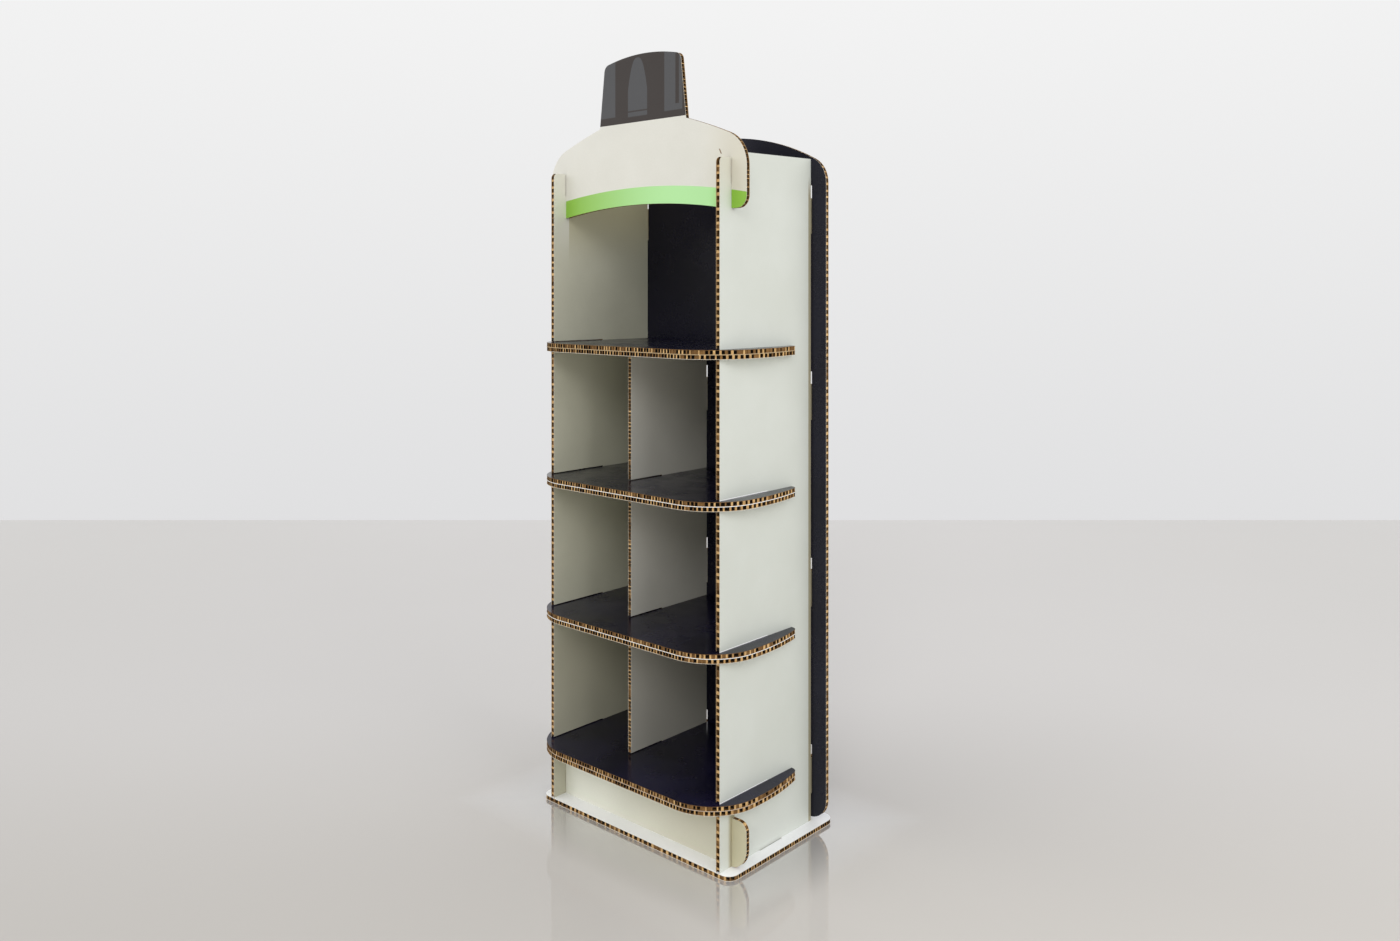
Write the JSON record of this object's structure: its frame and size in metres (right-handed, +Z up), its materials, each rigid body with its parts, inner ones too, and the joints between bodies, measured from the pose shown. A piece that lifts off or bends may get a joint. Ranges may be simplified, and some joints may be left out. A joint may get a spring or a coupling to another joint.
{
  "type": "cardboard display stand",
  "caption": "Tall free-standing shop display stand slotted together from honeycomb cardboard, with shelves, a divider and a bottle-shaped header.",
  "frame": {"origin": "middle of the base plate's underside", "axes": "+X to the stand's right as seen from the front, +Y to the back, +Z up"},
  "size_m": [0.624, 0.4194, 1.771],
  "materials": {
    "cream_board": "printed liner, satin",
    "dark_board": "printed liner, glossy",
    "header_board": "printed liner, satin"
  },
  "bodies": {
    "root": {"base_plate": "cream_board", "left_side_panel": "cream_board", "right_side_panel": "cream_board", "divider": "cream_board", "back_panel": "dark_board", "header_panel": "header_board", "plinth_board": "cream_board", "shelf_1_upper_board": "dark_board", "shelf_1_lower_board": "cream_board", "shelf_2_upper_board": "dark_board", "shelf_2_lower_board": "cream_board", "shelf_3_upper_board": "dark_board", "shelf_3_lower_board": "cream_board", "shelf_4_upper_board": "dark_board", "shelf_4_lower_board": "cream_board"}
  },
  "joints": []
}
